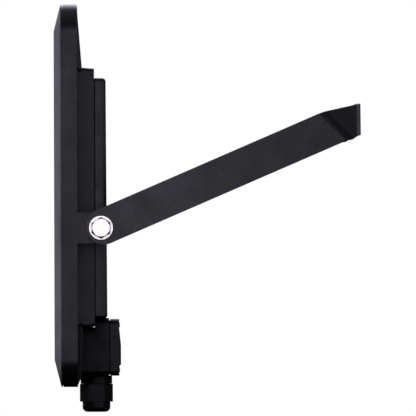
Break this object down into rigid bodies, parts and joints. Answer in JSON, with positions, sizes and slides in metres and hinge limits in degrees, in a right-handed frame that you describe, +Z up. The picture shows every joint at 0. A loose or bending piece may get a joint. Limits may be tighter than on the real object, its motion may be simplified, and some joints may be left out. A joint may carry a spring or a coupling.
{
  "type": "flood light",
  "caption": "Shallow rectangular LED flood light with an internal battery, tilting on a U-shaped wall bracket, with a junction box and cable gland for a solar panel lead",
  "frame": {"origin": "centre of the wall bar's middle hole, on the face that lies against the wall", "axes": "+X along the tilt axis, +Y into the wall, away from the lit face, +Z up"},
  "size_m": [0.3508, 0.2136, 0.2852],
  "materials": {
    "bracket_steel": "satin black powder coat",
    "cast_black": "black powder coat on die-cast alloy",
    "cover_black": "black powder coat on die-cast alloy, a little lighter",
    "bezel_black": "dark powder coat",
    "zinc_steel": "bright zinc plate",
    "screw_steel": "plain stainless",
    "clear_glass": "polished, clear",
    "clear_lens": "clear moulded acrylic",
    "rubber_black": "matt black",
    "board_white": "white solder mask",
    "led_yellow": "phosphor over white package",
    "pad_grey": "soft silicone sheet",
    "cell_blue": "shrink sleeve",
    "nylon_black": "fine matt nylon",
    "lid_grey": "fine matt nylon",
    "nickel": "nickel strip",
    "wire_red": "insulated wire",
    "wire_black": "insulated wire",
    "board_green": "green solder mask",
    "part_black": "moulded component bodies",
    "terminal_grey": "moulded nylon"
  },
  "bodies": {
    "bracket": {"bracket": "bracket_steel"},
    "head": {"pivot_bolts": "zinc_steel", "pivot_spring_washers": "zinc_steel", "pivot_flat_washers": "zinc_steel", "pivot_friction_washers": "nylon_black", "housing": "cast_black", "front_bezel": "bezel_black", "bezel_screws": "screw_steel", "front_glass": "clear_glass", "glass_gasket": "rubber_black", "lens_plate": "clear_lens", "led_board": "board_white", "led_chips": "led_yellow", "led_board_screws": "screw_steel", "thermal_pad": "pad_grey", "rear_cover": "cover_black", "rear_cover_gasket": "rubber_black", "rear_cover_screws": "screw_steel", "battery_cells": "cell_blue", "battery_cradles": "nylon_black", "cell_links": "nickel", "battery_leads": "wire_red", "control_board": "board_green", "board_parts": "part_black", "board_screws": "screw_steel", "led_leads": "wire_red", "solar_leads": "wire_black", "lead_grommet": "rubber_black", "junction_box": "nylon_black", "junction_box_screws": "screw_steel", "junction_box_gasket": "rubber_black", "junction_box_cover": "lid_grey", "junction_cover_screws": "screw_steel", "terminal_block": "terminal_grey", "terminal_screws": "screw_steel", "gland_body": "nylon_black", "gland_locknut": "nylon_black", "gland_washer": "rubber_black", "gland_seal": "rubber_black", "gland_cap": "nylon_black"}
  },
  "joints": [
    {"name": "head_tilt", "type": "hinge", "parent": "bracket", "child": "head", "pos_m": [0, -0.181, -0.075], "axis": [1, 0, 0], "range_deg": [-65, 115]}
  ]
}
